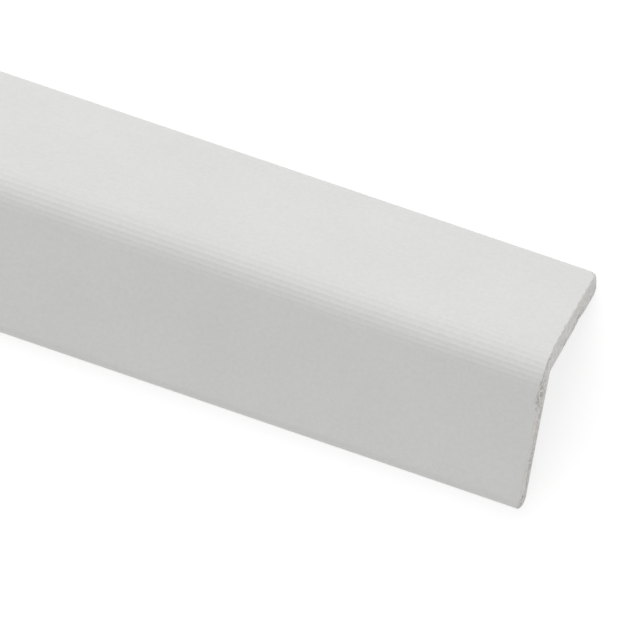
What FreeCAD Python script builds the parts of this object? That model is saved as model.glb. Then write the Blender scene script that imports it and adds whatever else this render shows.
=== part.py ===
import FreeCAD, Part
import math
import os
import Sketcher

# Corner guard moulding: one extruded length of white cellular plastic, an L in section, that caps an
# outside wall corner. It lies here as it would on a floor: on its two free edges, with the corner up.
# X runs along the length, the origin is on the floor under the middle of the piece.

NODE = "corner_guard"

# Sizes in millimetres, each written once.
SIZES = {
    "stock_length": 1219.2,
    "leg_width": 28.575,
    "wall_thickness": 4.7625,
    "inner_corner_radius": 0.5,
    "nose_outer_radius": 2.8,
    "nose_inner_radius": 1.0,
    "flute_count": 10,
    "flute_depth": 0.018,
    "flute_share": 0.9,
}

doc = FreeCAD.newDocument("corner_guard_moulding")

sheet = doc.addObject("Spreadsheet::Sheet", "Sizes")
for row, (word, number) in enumerate(SIZES.items(), start=1):
    sheet.set("A%d" % row, word)
    sheet.set("B%d" % row, str(number))
    sheet.setAlias("B%d" % row, word)
doc.recompute()


def size(word):
    """The number that the sheet holds under this word."""
    return float(sheet.get(word))


body = doc.addObject("PartDesign::Body", "Guard")
body.Label = NODE
doc.recompute()


def sketch_across(name):
    """A sketch square to the length: its x is the upper leg's way, its y points out of that leg's face."""
    plane = next(f for f in body.Origin.OriginFeatures if f.Role == "YZ_Plane")
    sketch = body.newObject("Sketcher::SketchObject", name)
    sketch.AttachmentSupport = [(plane, "")]
    sketch.MapMode = "FlatFace"
    return sketch


# The section. The sharp outer corner is at the sketch origin; leg a runs along +x, leg b along -y. The
# wall is as thick round the corner as in the legs, so the outer round has the same centre as the inner.
leg = size("leg_width")
wall = size("wall_thickness")
r_inner = size("inner_corner_radius")
r_out = size("nose_outer_radius")
r_in = size("nose_inner_radius")
r_corner = wall + r_inner
R_CORNER = "(Sizes.wall_thickness + Sizes.inner_corner_radius)"

START, END, CENTRE = range(1, 4)
H_AXIS, V_AXIS = range(-1, -3, -1)
ORIGIN = H_AXIS

section = sketch_across("Section")


def line(x0, y0, x1, y1):
    """A straight side of the section."""
    return section.addGeometry(Part.LineSegment(FreeCAD.Vector(x0, y0, 0), FreeCAD.Vector(x1, y1, 0)), False)


def arc(x, y, radius, first, last):
    """A rounded edge of the section, turning anticlockwise from the first angle to the last."""
    circle = Part.Circle(FreeCAD.Vector(x, y, 0), FreeCAD.Vector(0, 0, 1), radius)
    return section.addGeometry(Part.ArcOfCircle(circle, math.radians(first), math.radians(last)), False)


outer_a = line(r_corner, 0, leg - r_out, 0)
nose_out_a = arc(leg - r_out, -r_out, r_out, 0, 90)
tip_a = line(leg, -r_out, leg, r_in - wall)
nose_in_a = arc(leg - r_in, r_in - wall, r_in, -90, 0)
inner_a = line(leg - r_in, -wall, wall + r_inner, -wall)
corner_in = arc(wall + r_inner, -wall - r_inner, r_inner, 90, 180)
inner_b = line(wall, -wall - r_inner, wall, r_in - leg)
nose_in_b = arc(wall - r_in, r_in - leg, r_in, -90, 0)
tip_b = line(wall - r_in, -leg, r_out, -leg)
nose_out_b = arc(r_out, r_out - leg, r_out, 180, 270)
outer_b = line(0, r_out - leg, 0, -r_corner)
corner_out = arc(r_corner, -r_corner, r_corner, 90, 180)

# Every side runs smoothly into the next one.
JOINS = (
    (outer_a, END, nose_out_a, END),
    (nose_out_a, START, tip_a, START),
    (tip_a, END, nose_in_a, END),
    (nose_in_a, START, inner_a, START),
    (inner_a, END, corner_in, START),
    (corner_in, END, inner_b, START),
    (inner_b, END, nose_in_b, END),
    (nose_in_b, START, tip_b, START),
    (tip_b, END, nose_out_b, END),
    (nose_out_b, START, outer_b, START),
    (outer_b, END, corner_out, END),
    (corner_out, START, outer_a, START),
)
for join in JOINS:
    section.addConstraint(Sketcher.Constraint("Tangent", *join))
for side in (outer_a, inner_a, tip_b):
    section.addConstraint(Sketcher.Constraint("Horizontal", side))
for side in (outer_b, inner_b, tip_a):
    section.addConstraint(Sketcher.Constraint("Vertical", side))
section.addConstraint(Sketcher.Constraint("PointOnObject", outer_a, START, H_AXIS))
section.addConstraint(Sketcher.Constraint("PointOnObject", outer_b, END, V_AXIS))


def bind(sketch, kind, places, expression, value):
    """A dimension of the sketch that follows the sheet."""
    number = sketch.addConstraint(Sketcher.Constraint(kind, *places, value))
    sketch.setExpression("Constraints[%d]" % number, expression)


bind(section, "DistanceX", (ORIGIN, START, tip_a, START), "Sizes.leg_width", leg)
bind(section, "DistanceY", (tip_b, START, ORIGIN, START), "Sizes.leg_width", leg)
bind(section, "DistanceY", (inner_a, START, ORIGIN, START), "Sizes.wall_thickness", wall)
bind(section, "DistanceX", (ORIGIN, START, inner_b, START), "Sizes.wall_thickness", wall)
bind(section, "Radius", (corner_out,), R_CORNER, r_corner)
bind(section, "Radius", (corner_in,), "Sizes.inner_corner_radius", r_inner)
for nose in (nose_out_a, nose_out_b):
    bind(section, "Radius", (nose,), "Sizes.nose_outer_radius", r_out)
for nose in (nose_in_a, nose_in_b):
    bind(section, "Radius", (nose,), "Sizes.nose_inner_radius", r_in)
doc.recompute()

stock = body.newObject("PartDesign::Pad", "Stock")
stock.Profile = section
stock.Midplane = True
stock.setExpression("Length", "Sizes.stock_length")
section.Visibility = False
doc.recompute()
plain_volume = body.Shape.Volume

# The fluted corner: shallow hollows side by side round the outer corner, each a shave by a round die,
# with a narrow land left between two of them. The sketch origin is the centre of the corner's round.
pitch = 90.0 / size("flute_count")
half_angle = size("flute_share") * pitch / 2
half_chord = r_corner * math.sin(math.radians(half_angle))
r_flute = (half_chord ** 2 + size("flute_depth") ** 2) / (2 * size("flute_depth"))
reach = r_corner * math.cos(math.radians(half_angle)) - size("flute_depth") + r_flute

PITCH = "(90 / Sizes.flute_count)"
HALF_ANGLE = "(Sizes.flute_share * %s / 2)" % PITCH
HALF_CHORD = "(%s * sin(%s))" % (R_CORNER, HALF_ANGLE)
R_FLUTE = "((%s ^ 2 + Sizes.flute_depth ^ 2) / (2 * Sizes.flute_depth))" % HALF_CHORD
REACH = "(%s * cos(%s) - Sizes.flute_depth + %s)" % (R_CORNER, HALF_ANGLE, R_FLUTE)

flute = sketch_across("Flute")
flute.AttachmentOffset = FreeCAD.Placement(FreeCAD.Vector(r_corner, -r_corner, 0), FreeCAD.Rotation())
flute.setExpression("AttachmentOffset.Base.x", R_CORNER)
flute.setExpression("AttachmentOffset.Base.y", "-%s" % R_CORNER)
across = reach * math.sin(math.radians(pitch / 2))
above = reach * math.cos(math.radians(pitch / 2))
die = flute.addGeometry(
    Part.Circle(FreeCAD.Vector(-across, above, 0), FreeCAD.Vector(0, 0, 1), r_flute), False)
bind(flute, "Radius", (die,), R_FLUTE, r_flute)
bind(flute, "DistanceX", (die, CENTRE, ORIGIN, START), "%s * sin(%s / 2)" % (REACH, PITCH), across)
bind(flute, "DistanceY", (ORIGIN, START, die, CENTRE), "%s * cos(%s / 2)" % (REACH, PITCH), above)
doc.recompute()

shave = body.newObject("PartDesign::Pocket", "Shave")
shave.Profile = flute
shave.Type = "ThroughAll"
shave.Midplane = True
flute.Visibility = False
doc.recompute()
one_flute = plain_volume - body.Shape.Volume

flutes = body.newObject("PartDesign::PolarPattern", "Flutes")
flutes.Originals = [shave]
flutes.Axis = (flute, ["N_Axis"])
flutes.setExpression("Angle", "90 - %s" % PITCH)
flutes.setExpression("Occurrences", "Sizes.flute_count")
body.Tip = flutes
doc.recompute()
all_flutes = plain_volume - body.Shape.Volume

# It rests on the rounded inner edges of both legs, so it is turned half a right angle and lifted.
REST = "(Sizes.leg_width + Sizes.wall_thickness - 2 * Sizes.nose_inner_radius) / sqrt(2) + Sizes.nose_inner_radius"
lift = (leg + wall - 2 * r_in) / math.sqrt(2) + r_in
body.Placement = FreeCAD.Placement(
    FreeCAD.Vector(0, 0, lift), FreeCAD.Rotation(FreeCAD.Vector(1, 0, 0), -45))
body.setExpression(".Placement.Base.z", REST)
doc.recompute()

# Nothing is written unless every feature worked out and the solid is sound.
for thing in doc.Objects:
    if "Invalid" in thing.State or "Error" in thing.State:
        raise RuntimeError("%s did not work out: %s" % (thing.Name, thing.State))
if body.Shape.isNull() or not body.Shape.isValid() or len(body.Shape.Solids) != 1:
    raise RuntimeError("the guard is not one sound solid")
if not 0.95 < all_flutes / (one_flute * size("flute_count")) < 1.05:
    raise RuntimeError("the flutes did not all cut: %.3f of %.3f" % (all_flutes, one_flute))

os.makedirs("parts", exist_ok=True)
body.Shape.exportStep("parts/%s.step" % NODE)
box = body.Shape.BoundBox
print("%s: %.3f x %.3f x %.3f mm, lowest point %.4f mm" % (NODE, box.XLength, box.YLength, box.ZLength, box.ZMin))
print("volume %.1f mm3, flutes cut %.2f mm3" % (body.Shape.Volume, all_flutes))
print("section fully held by its sizes: %s, flute: %s" % (section.FullyConstrained, flute.FullyConstrained))
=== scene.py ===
# %% [markdown]
# # A corner guard moulding
# The real object is one length of white foamed plastic, pressed through a die that gives it an L
# section, and sawn to length. This lesson dresses its exact model: the section is drawn finely enough to
# show the flutes on the corner, then drawn out to its length, and the sawn ends get their roughness and
# their chipped edges.

# %% Load the exact model as a fixed frame
import bpy
import bmesh
import math
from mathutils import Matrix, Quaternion, Vector, noise


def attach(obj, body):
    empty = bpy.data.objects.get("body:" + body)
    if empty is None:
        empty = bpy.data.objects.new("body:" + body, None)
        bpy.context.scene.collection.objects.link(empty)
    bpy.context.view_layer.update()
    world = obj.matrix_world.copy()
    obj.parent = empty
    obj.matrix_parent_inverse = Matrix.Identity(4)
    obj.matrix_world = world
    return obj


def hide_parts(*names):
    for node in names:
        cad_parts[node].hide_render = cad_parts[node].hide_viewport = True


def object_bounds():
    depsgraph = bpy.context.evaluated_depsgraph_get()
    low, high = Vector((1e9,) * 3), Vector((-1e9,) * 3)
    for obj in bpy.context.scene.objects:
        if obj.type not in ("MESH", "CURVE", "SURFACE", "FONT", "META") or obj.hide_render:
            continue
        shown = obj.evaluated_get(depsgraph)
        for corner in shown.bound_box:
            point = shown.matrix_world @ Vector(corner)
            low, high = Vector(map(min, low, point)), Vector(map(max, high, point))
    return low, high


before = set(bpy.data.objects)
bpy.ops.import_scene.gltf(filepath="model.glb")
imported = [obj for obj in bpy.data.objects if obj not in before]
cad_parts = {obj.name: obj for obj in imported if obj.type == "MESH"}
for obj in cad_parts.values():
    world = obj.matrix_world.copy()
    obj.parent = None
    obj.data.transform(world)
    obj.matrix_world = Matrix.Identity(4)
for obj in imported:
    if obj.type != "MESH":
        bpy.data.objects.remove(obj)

cad_low, cad_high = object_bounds()
bpy.ops.object.select_all(action="DESELECT")
print("the exact model measures %.4f x %.4f x %.4f m" % tuple(cad_high - cad_low))

# %% [markdown]
# ## The sizes
# These are the sizes of the section in the exact model, in metres. The outer round of the corner has the
# same centre as the inner one, so the wall is even all the way round.

# %% Sizes of the section
MM = 0.001
LEG = 28.575 * MM
WALL = 4.7625 * MM
BEND = 0.5 * MM
ROUND = WALL + BEND
NOSE_OUTER = 2.8 * MM
NOSE_INNER = 1.0 * MM
FLUTES = 10
FLUTE_DEPTH = 0.018 * MM
END_X = cad_high.x
LENGTH = cad_high.x - cad_low.x
LIFT = (LEG + WALL - 2 * NOSE_INNER) / math.sqrt(2) + NOSE_INNER
print("wall is %.3f of the leg, the sharp corner would be %.2f mm up" % (WALL / LEG, LIFT / MM))

# %% [markdown]
# ## One leg of the section
# The two legs are alike, so one is drawn and the other is its mirror image. The drawing starts from a
# narrow strip of cells that goes through the wall. A grid is used and not a plain face, because the sawn
# end will need many small cells for its roughness. The strip stands at x = 0, with the sharp corner at
# the origin.

# %% Start with a strip of cells through the wall
ACROSS = 40
CELL = 0.16 * MM


def pick(kind, test):
    """In edit mode, selects the vertices, edges or faces whose every corner passes the test."""
    mesh = bmesh.from_edit_mesh(bpy.context.edit_object.data)
    bpy.ops.mesh.select_all(action="DESELECT")
    bpy.ops.mesh.select_mode(type=kind)
    items = {"VERT": mesh.verts, "EDGE": mesh.edges, "FACE": mesh.faces}[kind]
    for item in items:
        corners = [item] if kind == "VERT" else item.verts
        if all(test(v.co) for v in corners):
            item.select_set(True)
    mesh.select_flush_mode()
    bmesh.update_edit_mesh(bpy.context.edit_object.data)
    return sum(1 for item in items if item.select)


bpy.ops.mesh.primitive_grid_add(
    x_subdivisions=ACROSS, y_subdivisions=1, size=1.0, rotation=(0, math.pi / 2, 0),
    location=(0, ROUND + CELL / 2, -WALL / 2))
guard = bpy.context.object
guard.name = "corner_guard_moulding"
guard.scale = (WALL, CELL, 1)
bpy.ops.object.transform_apply(location=True, rotation=True, scale=True)
print("strip:", len(guard.data.polygons), "cells")

# %% [markdown]
# ## Draw the leg out to its rounded edge
# The strip's free edge is extruded step by step. Over the flat each step is the same. Over the nose each
# step is shorter, and the edge is also made smaller about a point, so that its upper end follows the
# larger outer round and its lower end the smaller inner one.

# %% Extrude the flat and the nose
NOSE_STEPS = 14
flat_end = LEG - NOSE_OUTER
flat_steps = round((flat_end - ROUND - CELL) / CELL)
flat_step = (flat_end - ROUND - CELL) / flat_steps
bpy.ops.object.mode_set(mode="EDIT")
pick("EDGE", lambda p: p.y > ROUND + CELL * 0.9)
for _ in range(flat_steps):
    bpy.ops.mesh.extrude_edges_move(TRANSFORM_OT_translate={"value": (0, flat_step, 0)})


def nose_at(angle):
    """How far out the nose has come at this angle of its outer round, and its upper and lower ends there."""
    out = flat_end + NOSE_OUTER * math.sin(angle)
    top = -NOSE_OUTER * (1 - math.cos(angle))
    past = min(max(out - (LEG - NOSE_INNER), 0.0), NOSE_INNER)
    low = -WALL + NOSE_INNER - math.sqrt(NOSE_INNER ** 2 - past ** 2)
    return out, top, low


before = nose_at(0.0)
for step in range(1, NOSE_STEPS + 1):
    now = nose_at(math.pi / 2 * step / NOSE_STEPS)
    bpy.ops.mesh.extrude_edges_move(TRANSFORM_OT_translate={"value": (0, now[0] - before[0], 0)})
    shrink = (now[1] - now[2]) / (before[1] - before[2])
    still = (now[1] - shrink * before[1]) / (1 - shrink)
    bpy.ops.transform.resize(value=(1, 1, shrink), center_override=(0, now[0], still))
    before = now
print("flat steps", flat_steps, "nose ends at", [round(v / MM, 3) for v in before])

# %% [markdown]
# ## Half of the corner
# The other edge of the strip is spun about the centre of the corner's round, half of a right angle, up
# to the plane of symmetry. Spin keeps the wall even, which is what the die does.

# %% Spin the corner
PHASES = 6
SAME_POINT = 1e-7
centre = Vector((0, ROUND, -ROUND))
pick("EDGE", lambda p: p.y < ROUND + CELL * 0.1)
bpy.ops.mesh.spin(
    steps=FLUTES * PHASES // 2, dupli=False, angle=math.radians(45), center=centre, axis=(-1, 0, 0))
pick("VERT", lambda p: True)
bpy.ops.mesh.remove_doubles(threshold=SAME_POINT)
lowest = min(v.co.y for v in bmesh.from_edit_mesh(guard.data).verts)
half_way = ROUND * (1 - math.sqrt(0.5))
print("the corner reaches y = %.3f mm, its half should be at %.3f" % (lowest / MM, half_way / MM))

# %% [markdown]
# ## The flutes
# The die leaves ten shallow hollows side by side round the corner, with fine ridges between them, and
# they are what catches the light there. Every sixth vertex of the round stays where it is as a ridge.
# The five between two ridges move towards the centre, so that they lie on a shallow arc below the
# straight line from ridge to ridge.

# %% Hollow the flutes
PITCH = math.pi / 2 / FLUTES
NEARLY = 1e-6


def step_of(p):
    """Which step of the round a vertex of the outer face is on, or None for any other vertex."""
    arm = p - centre
    if abs(arm.length - ROUND) > NEARLY:
        return None
    return round(math.atan2(-arm.y, arm.z) / PITCH * PHASES)


def in_phase(p, phase):
    """Whether a vertex lies this many steps from one of the ridges beside it."""
    step = step_of(p)
    return step is not None and step % PHASES in (phase, PHASES - phase)


for phase in range(1, PHASES // 2 + 1):
    share = phase / PHASES
    chord = math.cos(PITCH / 2) / math.cos((share - 0.5) * PITCH)
    factor = chord - 4 * FLUTE_DEPTH / ROUND * share * (1 - share)
    count = pick("VERT", lambda p: in_phase(p, phase))
    bpy.ops.transform.resize(value=(1, factor, factor), center_override=centre)
    print("phase", phase, "moved", count, "vertices in by %.4f mm" % (ROUND * (1 - factor) / MM))
bpy.ops.object.mode_set(mode="OBJECT")

# %% [markdown]
# ## Both legs, standing on their free edges
# The guard lies on a floor like a tent, so the half section is turned half a right angle and lifted
# until its inner nose meets the floor. The Mirror modifier then makes the second leg, and merges the two
# halves along the ridge between the fifth and the sixth flute. The exact model came in as small flats,
# so its box is some thousandths of a millimetre smaller than the true section, and the section is fitted
# into that box.

# %% Turn, lift and mirror
JUST_INSIDE = 0.99999
guard.rotation_euler = (math.radians(-45), 0, 0)
guard.location = (0, 0, LIFT)
bpy.ops.object.transform_apply(location=True, rotation=True, scale=True)
mirror = guard.modifiers.new("other leg", "MIRROR")
mirror.use_axis = (False, True, False)
mirror.merge_threshold = NEARLY
bpy.ops.object.modifier_apply(modifier=mirror.name)
drawn_width = max(v.co.y for v in guard.data.vertices)
drawn_low = min(v.co.z for v in guard.data.vertices)
drawn_high = max(v.co.z for v in guard.data.vertices)
squeeze = (cad_high.z - cad_low.z) / (drawn_high - drawn_low) * JUST_INSIDE
half_width = cad_high.y * JUST_INSIDE
guard.scale = (1, half_width / drawn_width, squeeze)
guard.location.z = cad_low.z - drawn_low * squeeze
bpy.ops.object.transform_apply(location=True, rotation=True, scale=True)
print("section:", len(guard.data.polygons), "cells, half width %.3f mm" % (half_width / MM))

# %% [markdown]
# ## Draw the section out to its length
# The saw went through a little out of square, so the section is turned in plan before it is drawn out.
# Its y is stretched by as much as the turn narrows it. The extrusion then goes in short steps near the
# sawn end, where chips will need vertices, in one long step over the middle, and in short steps again at
# the far end, whose cut is square.

# %% Extrude along the length
SAW_TURN = math.radians(1.84)
ROWS_MM = (0.06, 0.06, 0.07, 0.08, 0.09, 0.1, 0.12, 0.14, 0.18, 0.24, 0.34, 0.5, 0.8)
ROWS = [step * MM for step in ROWS_MM]
guard.scale = (1, 1 / math.cos(SAW_TURN), 1)
guard.rotation_euler = (0, 0, SAW_TURN)
guard.location = (END_X - half_width * math.tan(SAW_TURN), 0, 0)
bpy.ops.object.transform_apply(location=True, rotation=True, scale=True)


def draw_out(distance, flat_at=None):
    """Moves the section along the length, and flattens it square to the length where a place is given."""
    bpy.ops.mesh.extrude_region_move(TRANSFORM_OT_translate={"value": (-distance, 0, 0)})
    if flat_at is not None:
        bpy.ops.transform.resize(value=(0, 1, 1), center_override=(flat_at, 0, 0))


bpy.ops.object.mode_set(mode="EDIT")
bpy.ops.mesh.select_all(action="SELECT")
for row in ROWS:
    draw_out(row)
draw_out(LENGTH / 2, flat_at=cad_low.x + sum(ROWS))
for row in reversed(ROWS):
    draw_out(row)
bpy.ops.mesh.select_all(action="SELECT")
bpy.ops.mesh.normals_make_consistent(inside=False)
bpy.ops.object.mode_set(mode="OBJECT")
print("solid:", len(guard.data.vertices), "vertices,", len(guard.data.polygons), "faces")

# %% [markdown]
# ## The chipped edge of the cut
# A saw breaks the skin of foamed plastic away along the edge where its teeth come out. Each break is a
# small slope between the skin and the cut. The -y leg has large ragged chips, and the other one has
# smaller chips and a tip that is worn round. The vertices of the skin and of the cut that lie in a break
# are spread over that slope, so the break has enough of them to be rough. This is done vertex by vertex,
# because no operator breaks an edge.

# %% Where a vertex lies in the section
NOSE_END = flat_end + NOSE_OUTER * math.pi / 2
TIP_END = NOSE_END + WALL - NOSE_OUTER - NOSE_INNER
DIAGONAL = math.sqrt(0.5)


def lie_of(y, z):
    """Which leg a point is in, its place along the outer face, its depth below that face, and the way in."""
    side = 1 if y >= 0 else -1
    along = (abs(y) - (z - LIFT)) * DIAGONAL
    out = (abs(y) + (z - LIFT)) * DIAGONAL
    if along > flat_end and out > -NOSE_OUTER:
        arm = Vector((along - flat_end, out + NOSE_OUTER))
        place = flat_end + NOSE_OUTER * math.atan2(arm.x, arm.y)
        depth = NOSE_OUTER - arm.length
        way = -arm.normalized()
    elif along > flat_end:
        place = NOSE_END - NOSE_OUTER - out
        depth = LEG - along
        way = Vector((-1, 0))
    elif along >= ROUND:
        place, depth, way = along, -out, Vector((0, -1))
    else:
        arm = Vector((along - ROUND, out + ROUND))
        place = ROUND * (1 - math.atan2(-arm.x, arm.y))
        depth = ROUND - arm.length
        way = -arm.normalized()
    inwards = Vector((0, side * (way.x + way.y) * DIAGONAL, (way.y - way.x) * DIAGONAL))
    return side, place, depth, inwards


print("places run from the corner to %.2f mm, the nose starts at %.2f" % (TIP_END / MM, flat_end / MM))

# %% How far the skin is broken back, place by place
# For the near end (1) and the far end (-1): leg (1 is the +y one), place on it, half the length, how far
# back over the skin and how deep, all in mm.
CHIPS = {
    1: [(-1, 4.5, 1.3, 0.3, 0.5), (-1, 6.7, 1.7, 0.55, 0.9), (-1, 8.7, 1.4, 0.36, 0.6),
        (-1, 11.6, 1.0, 0.14, 0.25), (-1, 27.6, 1.5, 0.36, 0.6), (-1, 29.4, 1.0, 0.2, 0.3),
        (1, 28.2, 3.1, 2.0, 1.1), (1, 4.6, 0.9, 0.22, 0.28), (1, 6.9, 0.7, 0.25, 0.3),
        (1, 8.6, 0.6, 0.2, 0.25), (1, 10.6, 0.9, 0.3, 0.36), (1, 12.9, 0.6, 0.24, 0.28),
        (1, 14.8, 1.0, 0.3, 0.36), (1, 17.2, 0.7, 0.24, 0.3), (1, 19.4, 0.9, 0.36, 0.42),
        (1, 21.6, 0.7, 0.28, 0.3), (1, 23.6, 0.9, 0.3, 0.36)],
    -1: [(-1, 9.0, 2.5, 0.4, 0.3), (1, 5.5, 2.0, 0.35, 0.25), (1, 22.0, 1.8, 0.45, 0.3),
         (-1, 24.0, 1.2, 0.3, 0.2)],
}
LEAST_MM = 0.03
TIP_FADE = 0.4 * MM


def ragged(side, place):
    """How uneven a break is: full on the -y leg's flat, less on the other one's, slight on the noses."""
    if place > flat_end:
        return 0.12
    return 0.8 if side == 1 else 1.0


def broken(end, side, place):
    """How far back over the skin and how deep into the cut the edge is broken, in metres."""
    s = place / MM
    slow = noise.noise(Vector((s * 1.6, side * 9.0, end * 5.0)))
    fast = noise.noise(Vector((s * 4.3, side * 9.0 + 30.0, end * 5.0))) * ragged(side, place)
    back = LEAST_MM + 0.1 * max(fast, 0)
    deep = back
    for leg, middle, reach, far, low in CHIPS[end]:
        swell = max(0.0, 1 - ((s - middle) / reach) ** 2) if leg == side else 0.0
        back += far * swell * (0.75 + 0.7 * fast + 0.3 * slow)
        deep += low * swell * (0.75 + 0.4 * slow - 0.5 * fast)
    fade = min(max((TIP_END - place) / TIP_FADE, 0.0), 1.0)
    return max(back, LEAST_MM) * fade * MM, max(deep, LEAST_MM) * fade * MM


print("chips at the near end:", len(CHIPS[1]), "and at the far end:", len(CHIPS[-1]))

# %% Break the edges
WORN_FROM = 25.1 * MM
END_ZONE = 2.7 * MM
NO_BREAK = 0.001 * MM
SKIN_DEPTH = 0.04 * MM
CUT_DEPTH = 0.005 * MM


def plane_at(end, y):
    """Where the sawn plane is at this y."""
    return END_X - (y + half_width) * math.tan(SAW_TURN) if end == 1 else cad_low.x


chipped = {}
for vertex in guard.data.vertices:
    end = 1 if vertex.co.x > 0 else -1
    behind = (plane_at(end, vertex.co.y) - vertex.co.x) * end
    if behind > END_ZONE:
        continue
    side, place, depth, inwards = lie_of(vertex.co.y, vertex.co.z)
    back, deep = broken(end, side, place)
    if min(back, deep) < NO_BREAK:
        continue
    on_skin = depth < SKIN_DEPTH
    on_cut = behind < CUT_DEPTH
    if on_skin and not on_cut and behind < back:
        share = 0.5 + 0.5 * behind / back
    elif on_cut and depth < deep:
        share = 0.5 - 0.5 * max(depth, 0.0) / deep
    else:
        continue
    bulge = 0.2 * math.sin(math.pi * share) if side == 1 and place > WORN_FROM else 0.0
    grain = 0.3 * ragged(side, place) * noise.noise(vertex.co / MM * 4.0) * (1 - abs(2 * share - 1))
    new_behind = back * (share - bulge)
    new_depth = deep * (1 - share - bulge + grain)
    vertex.co.x -= end * (new_behind - behind)
    vertex.co += inwards * (new_depth - depth)
    chipped[vertex.index] = back
farthest = max(chipped.values()) / MM
print("broken edge:", len(chipped), "vertices, up to %.2f mm back over the skin" % farthest)

# %% [markdown]
# ## The rough face of the cut
# The saw leaves the dense skin smooth and tears the soft middle of the wall, in some places more than in
# others. Each tear is an oval on the cut, and every vertex gets the worst of the tears that it lies in
# as its weight. A Displace modifier with a clouds texture then pushes the vertices in by that weight,
# and by less on the noses, where the cells are finer. The weight is kept as an attribute too, so that
# the finish can put shadow and dust into the same tears.

# %% Where the cut is torn
# For each end: leg, place on it and half the length, depth below the skin and half the depth, all in mm, and
# how badly it is torn.
EVEN = 0.14
TORN_BEHIND = 0.6 * MM
NOSE_CALM = 0.35
TEARS = {
    1: [(-1, 6.6, 3.6, 1.2, 2.4, 1.0), (-1, 17.0, 14.0, 3.2, 1.2, 0.8), (-1, 28.2, 2.6, 1.9, 2.6, 1.0),
        (-1, 1.6, 2.6, 0.3, 0.9, 0.8), (1, 1.6, 2.2, 0.3, 0.9, 0.7), (1, 19.9, 2.6, 4.1, 1.4, 1.0),
        (1, 12.2, 0.9, 4.0, 0.9, 0.9), (1, 16.6, 0.8, 4.0, 0.8, 0.7), (1, 26.6, 1.6, 3.7, 1.0, 0.7)],
    -1: [(-1, 12.0, 8.0, 2.4, 1.3, 0.8), (1, 10.0, 7.0, 2.6, 1.2, 0.8), (1, 24.0, 2.5, 2.2, 1.8, 0.9)],
}


def torn(end, side, place, depth):
    """How badly the cut is torn at this place and depth, from 0 to 1."""
    worst = EVEN
    for leg, middle, reach, level, half, how in TEARS[end]:
        off = ((place / MM - middle) / reach) ** 2 + ((depth / MM - level) / half) ** 2
        if leg == side and off < 1:
            worst = max(worst, how * (1 - off ** 2))
    return worst


weights = [0.0] * len(guard.data.vertices)
groups = {1: guard.vertex_groups.new(name="sawn_near"), -1: guard.vertex_groups.new(name="sawn_far")}
for vertex in guard.data.vertices:
    end = 1 if vertex.co.x > 0 else -1
    behind = (plane_at(end, vertex.co.y) - vertex.co.x) * end
    if behind < TORN_BEHIND:
        side, place, depth, _ = lie_of(vertex.co.y, vertex.co.z)
        weight = torn(end, side, place, depth) * min(1.0, 1 - behind / TORN_BEHIND)
        calm = NOSE_CALM if place > flat_end else 1.0
        groups[end].add([vertex.index], weight * calm, "REPLACE")
        weights[vertex.index] = weight
tears = guard.data.attributes.new("tears", "FLOAT", "POINT")
tears.data.foreach_set("value", weights)
print("torn over half way:", sum(1 for weight in weights if weight > 0.5), "vertices")

# %% Roughen the cuts
GRAIN_SIZE = 0.45 * MM
GRAIN_DEPTH = 0.34 * MM
for end, group in groups.items():
    clouds = bpy.data.textures.new(group.name + "_grain", "CLOUDS")
    clouds.noise_scale = GRAIN_SIZE
    clouds.noise_depth = 3
    rough = guard.modifiers.new(group.name, "DISPLACE")
    rough.texture = clouds
    rough.texture_coords = "LOCAL"
    rough.direction = "X"
    rough.mid_level = 1.0
    rough.strength = GRAIN_DEPTH * end
    rough.vertex_group = group.name
    bpy.ops.object.modifier_apply(modifier=rough.name)
reach_x = [v.co.x for v in guard.data.vertices]
print("x from %.4f to %.4f m" % (min(reach_x), max(reach_x)))

# %% [markdown]
# ## Helpers for the finishes
# A finish is a small graph of nodes. One helper adds a node with its settings and joins it to others,
# and one starts a new finish, so that each finish below reads as a list of what it is made of. Every
# pattern reads Object coordinates, in metres, because the object sits unturned at the origin.

# %% Node helpers
def add(tree, kind, inputs=None, **settings):
    """A new node with these settings, and these values on its inputs; a value that is a socket is joined."""
    node = tree.nodes.new(kind)
    for word, value in settings.items():
        setattr(node, word, value)
    for word, value in (inputs or {}).items():
        if isinstance(value, bpy.types.NodeSocket):
            tree.links.new(value, node.inputs[word])
        else:
            node.inputs[word].default_value = value
    return node


def finish(name):
    """A new material, its tree, its Principled shader and its object coordinates."""
    material = bpy.data.materials.new(name)
    material.use_nodes = True
    tree = material.node_tree
    shader = tree.nodes["Principled BSDF"]
    place = add(tree, "ShaderNodeTexCoord").outputs["Object"]
    return material, tree, shader, place


skin, tree, shader, place = finish("white_skin")
print("started", skin.name, "with", len(tree.nodes), "nodes")

# %% [markdown]
# ## The white skin
# The skin is a satin white, a touch warm. It isn't quite even: broad faint clouds from the cooling of
# the foam, fine lengthwise lines from the die, and a slight orange peel. The die lines come from a noise
# that is squeezed along x, so that it draws out into streaks.

# %% White skin
clouds = add(tree, "ShaderNodeTexNoise", {"Vector": place, "Scale": 55.0, "Detail": 4.0, "Roughness": 0.55})
fine = add(tree, "ShaderNodeTexNoise", {"Vector": place, "Scale": 1500.0, "Detail": 2.0, "Roughness": 0.6})
drawn = add(tree, "ShaderNodeMapping", {"Vector": place, "Scale": (0.012, 1.0, 1.0)})
streaks = add(tree, "ShaderNodeTexNoise", {"Vector": drawn.outputs["Vector"], "Scale": 1600.0, "Detail": 3.0})
cloudy = add(tree, "ShaderNodeMapRange", {
    "Value": clouds.outputs["Fac"], "From Min": 0.3, "From Max": 0.7, "To Min": 0.965, "To Max": 1.0})
grainy = add(tree, "ShaderNodeMapRange", {
    "Value": fine.outputs["Fac"], "From Min": 0.3, "From Max": 0.7, "To Min": 0.968, "To Max": 1.012})
tone = add(tree, "ShaderNodeMath", {
    0: cloudy.outputs["Result"], 1: grainy.outputs["Result"]}, operation="MULTIPLY")
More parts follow.
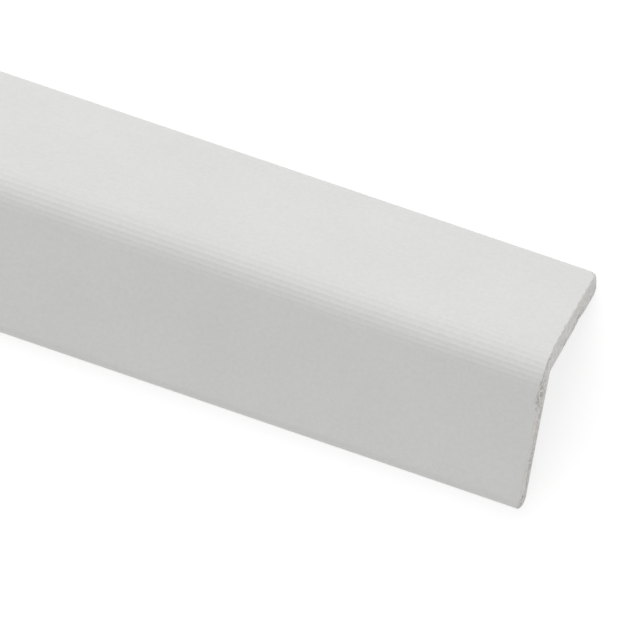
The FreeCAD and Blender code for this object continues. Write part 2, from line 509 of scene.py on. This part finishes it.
white = add(tree, "ShaderNodeVectorMath", {0: (0.82, 0.82, 0.802), 1: tone.outputs[0]}, operation="MULTIPLY")
tree.links.new(white.outputs["Vector"], shader.inputs["Base Color"])
satin = add(tree, "ShaderNodeMapRange", {
    "Value": streaks.outputs["Fac"], "From Min": 0.3, "From Max": 0.7, "To Min": 0.4, "To Max": 0.5})
tree.links.new(satin.outputs["Result"], shader.inputs["Roughness"])
peel = add(tree, "ShaderNodeBump", {"Height": fine.outputs["Fac"], "Strength": 0.4, "Distance": 0.00002})
lines = add(tree, "ShaderNodeBump", {
    "Height": streaks.outputs["Fac"], "Strength": 0.35, "Distance": 0.00001,
    "Normal": peel.outputs["Normal"]})
tree.links.new(lines.outputs["Normal"], shader.inputs["Normal"])
guard.data.materials.append(skin)
print("skin has", len(tree.nodes), "nodes")

# %% [markdown]
# ## The sawn foam
# Where the skin is cut or broken the foam shows: a duller white, a little warm and uneven, full of fine
# pores. The pores are the small cells of a Voronoi texture. In the tears, which come in as the attribute
# from above, a noise makes dark holes where shadow and dust sit.

# %% Sawn foam
foam, tree, shader, place = finish("sawn_foam")
shade = add(tree, "ShaderNodeTexNoise", {"Vector": place, "Scale": 1100.0, "Detail": 4.0, "Roughness": 0.65})
pores = add(tree, "ShaderNodeTexVoronoi", {"Vector": place, "Scale": 3200.0, "Randomness": 1.0})
holes = add(tree, "ShaderNodeTexNoise", {"Vector": place, "Scale": 2300.0, "Detail": 2.0, "Roughness": 0.5})
tear = add(tree, "ShaderNodeAttribute", attribute_name="tears")
fine_dark = add(tree, "ShaderNodeMapRange", {
    "Value": pores.outputs["Distance"], "From Min": 0.08, "From Max": 0.4, "To Min": 0.87, "To Max": 1.0})
uneven = add(tree, "ShaderNodeMapRange", {
    "Value": shade.outputs["Fac"], "From Min": 0.3, "From Max": 0.7, "To Min": 0.8, "To Max": 1.1})
hole = add(tree, "ShaderNodeMapRange", {
    "Value": holes.outputs["Fac"], "From Min": 0.46, "From Max": 0.62})
# Painted shade and dust: in the tears the colour turns dark brown in noise holes, standing for the shade that
# falls in the pits and for dust.
shade_and_dust = add(tree, "ShaderNodeMath", {0: hole.outputs["Result"], 1: tear.outputs["Fac"]}, operation="MULTIPLY")
tone = add(tree, "ShaderNodeMath", {
    0: fine_dark.outputs["Result"], 1: uneven.outputs["Result"]}, operation="MULTIPLY")
warm = add(tree, "ShaderNodeVectorMath", {0: (0.92, 0.907, 0.88), 1: tone.outputs[0]}, operation="MULTIPLY")
# Inputs 6 and 7 of a Mix node are its two colours, and output 2 is the mixed one.
shaded_and_dusty = add(tree, "ShaderNodeMix", {
    0: shade_and_dust.outputs[0], 6: warm.outputs["Vector"], 7: (0.45, 0.41, 0.36, 1)}, data_type="RGBA")
tree.links.new(shaded_and_dusty.outputs[2], shader.inputs["Base Color"])
shader.inputs["Roughness"].default_value = 0.85
pitted = add(tree, "ShaderNodeBump", {
    "Height": pores.outputs["Distance"], "Strength": 0.5, "Distance": 0.00004})
tree.links.new(pitted.outputs["Normal"], shader.inputs["Normal"])
guard.data.materials.append(foam)
print("foam has", len(tree.nodes), "nodes")

# %% [markdown]
# ## Which face gets which finish
# A face shows foam if it is on a cut, or if all its corners were moved by a break that reaches well over
# the skin. All other faces are skin, and are shaded smooth except across sharp edges. The ridges between
# the flutes are too shallow for that angle, so their edges are marked sharp one by one, and each flute
# keeps its own light and dark side.

# %% Shade the skin and mark the ridges
RIDGE_NEAR = 0.012 * MM
RIDGE_TURN = 0.02
SHARP_FROM = math.radians(35)
bpy.ops.object.shade_smooth_by_angle(angle=SHARP_FROM)
round_z = LIFT - ROUND * math.sqrt(2)
points = [v.co for v in guard.data.vertices]


def on_ridge(p):
    """Whether a point lies on one of the ridges between the flutes."""
    turns = math.atan2(p.y, p.z - round_z) / PITCH
    far_out = abs(math.hypot(p.y, p.z - round_z) - ROUND) < RIDGE_NEAR
    return far_out and abs(turns - round(turns)) < RIDGE_TURN and abs(turns) < FLUTES / 2 + 0.5


ridges = 0
for edge in guard.data.edges:
    first, last = points[edge.vertices[0]], points[edge.vertices[1]]
    lengthwise = (first - last).yz.length < NEARLY
    if lengthwise and on_ridge(first) and on_ridge(last):
        edge.use_edge_sharp = True
        ridges += 1
print("sharp edges on the ridges:", ridges)

# %% Assign the finishes
FACES_END = 0.6
FOAM_FROM = 0.08 * MM
sawn = 0
for face in guard.data.polygons:
    end = 1 if face.center.x > 0 else -1
    behind = (plane_at(end, face.center.y) - face.center.x) * end
    on_cut = abs(face.normal.x) > FACES_END
    in_chip = all(i in chipped and chipped[i] > FOAM_FROM for i in face.vertices)
    if behind < END_ZONE and (on_cut or in_chip):
        face.material_index = 1
        sawn += 1
print("foam shows on", sawn, "of", len(guard.data.polygons), "faces")
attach(guard, "root")
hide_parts("corner_guard")

# %% [markdown]
# ## Floor and light
# The photograph shows the guard on pure white. The floor is pale, and where the camera or a reflection
# sees it, most of its brightness is a light of its own, so it comes out white and still keeps a faint
# shadow. A pale sky gives even light from all round. A wide lamp overhead puts a soft reflection on the
# far leg, which ends over the fluted corner, and a low one behind the guard makes that leg a little
# lighter still.

# %% Floor
FLOOR_SIZE = 12.0
FLOOR_LIT = 0.92
FLOOR_SEEN = 0.36
FLOOR_GLOW = 0.76


def seen_rays(tree):
    """A socket that is 1 where the camera, a reflection or a look through glass meets it, and else 0."""
    rays = add(tree, "ShaderNodeLightPath")
    seen = rays.outputs["Is Camera Ray"]
    for kind in ("Is Glossy Ray", "Is Transmission Ray"):
        most = add(tree, "ShaderNodeMath", {0: seen, 1: rays.outputs[kind]}, operation="MAXIMUM")
        seen = most.outputs[0]
    return seen


bpy.ops.object.select_all(action="DESELECT")
bpy.ops.mesh.primitive_plane_add(size=FLOOR_SIZE, location=(0, 0, 0))
floor = bpy.context.object
floor.name = "floor"
paper = bpy.data.materials.new("white_floor")
paper.use_nodes = True
tree = paper.node_tree
tree.nodes.clear()
seen = seen_rays(tree)
pale = add(tree, "ShaderNodeMath", {
    0: seen, 1: FLOOR_SEEN - FLOOR_LIT, 2: FLOOR_LIT}, operation="MULTIPLY_ADD")
matt = add(tree, "ShaderNodeBsdfDiffuse", {"Color": pale.outputs[0]})
lift_light = add(tree, "ShaderNodeMath", {0: seen, 1: FLOOR_GLOW}, operation="MULTIPLY")
glow = add(tree, "ShaderNodeEmission", {"Color": (1, 1, 1, 1), "Strength": lift_light.outputs[0]})
both = add(tree, "ShaderNodeAddShader", {0: matt.outputs[0], 1: glow.outputs[0]})
add(tree, "ShaderNodeOutputMaterial", {"Surface": both.outputs[0]})
floor.data.materials.append(paper)
print("floor is %.0f m wide, its finish has %d nodes" % (FLOOR_SIZE, len(tree.nodes)))

# %% Sky and lamps
SKY = 0.475
world = bpy.data.worlds.new("pale_sky")
bpy.context.scene.world = world
world.use_nodes = True
tree = world.node_tree
sky = tree.nodes["Background"]
sky.inputs["Color"].default_value = (1, 1, 1, 1)
seen = seen_rays(tree)
level = add(tree, "ShaderNodeMath", {0: seen, 1: 1 - SKY, 2: SKY}, operation="MULTIPLY_ADD")
tree.links.new(level.outputs[0], sky.inputs["Strength"])
print("the sky lights with", SKY, "and is seen as 1")


def soft_lamp(name, location, tilt, across, deep, energy):
    """A rectangular lamp that faces down and is then tilted about x."""
    bpy.ops.object.light_add(type="AREA", location=location, rotation=(math.radians(tilt), 0, 0))
    lamp = bpy.context.object
    lamp.name = name
    lamp.data.shape = "RECTANGLE"
    lamp.data.size = across
    lamp.data.size_y = deep
    lamp.data.energy = energy
    print("%s: %.1f x %.1f m, %.1f W" % (name, across, deep, energy))


soft_lamp("overhead_lamp", location=(-0.2, 1.03, 2.82), tilt=-20, across=2.0, deep=5.0, energy=47.5)
soft_lamp("back_lamp", location=(0.2, 3.0, 0.75), tilt=-90, across=4.0, deep=1.3, energy=10.0)

# %% [markdown]
# ## Camera
# The guard is seen from high up and from a little beyond its sawn end, through a long lens, so that its
# edges stay parallel as they do in the photograph. The camera is rolled, and it is aimed so that the
# outer corner of the cut comes to the place in the picture where the photograph has it.

# %% Camera
AZIMUTH, ELEVATION, ROLL = math.radians(44.22), math.radians(75.61), math.radians(-24.52)
PIXELS_PER_M = 6680.0
LENS, SENSOR, PICTURE = 1000.0, 36.0, 640.0
CORNER_X, CORNER_Y = 546.2, 361.2
corner = Vector((plane_at(1, 0.0), 0, LIFT))
level_part = math.cos(ELEVATION)
back = Vector((math.sin(AZIMUTH) * level_part, -math.cos(AZIMUTH) * level_part, math.sin(ELEVATION)))
turn = (-back).to_track_quat("-Z", "Y") @ Quaternion((0, 0, 1), ROLL)
right, up = turn @ Vector((1, 0, 0)), turn @ Vector((0, 1, 0))
aim = corner + right * ((PICTURE / 2 - CORNER_X) / PIXELS_PER_M)
aim += up * ((CORNER_Y - PICTURE / 2) / PIXELS_PER_M)
distance = PICTURE / PIXELS_PER_M * LENS / SENSOR
bpy.ops.object.camera_add(location=aim + back * distance)
camera = bpy.context.object
camera.name = "camera"
camera.rotation_euler = turn.to_euler()
camera.data.lens = LENS
camera.data.sensor_width = SENSOR
camera.data.clip_end = 100.0
bpy.context.scene.camera = camera
bpy.context.scene.view_settings.view_transform = "Standard"
print("camera %.2f m from what it sees, %.1f mm across" % (distance, PICTURE / PIXELS_PER_M / MM))
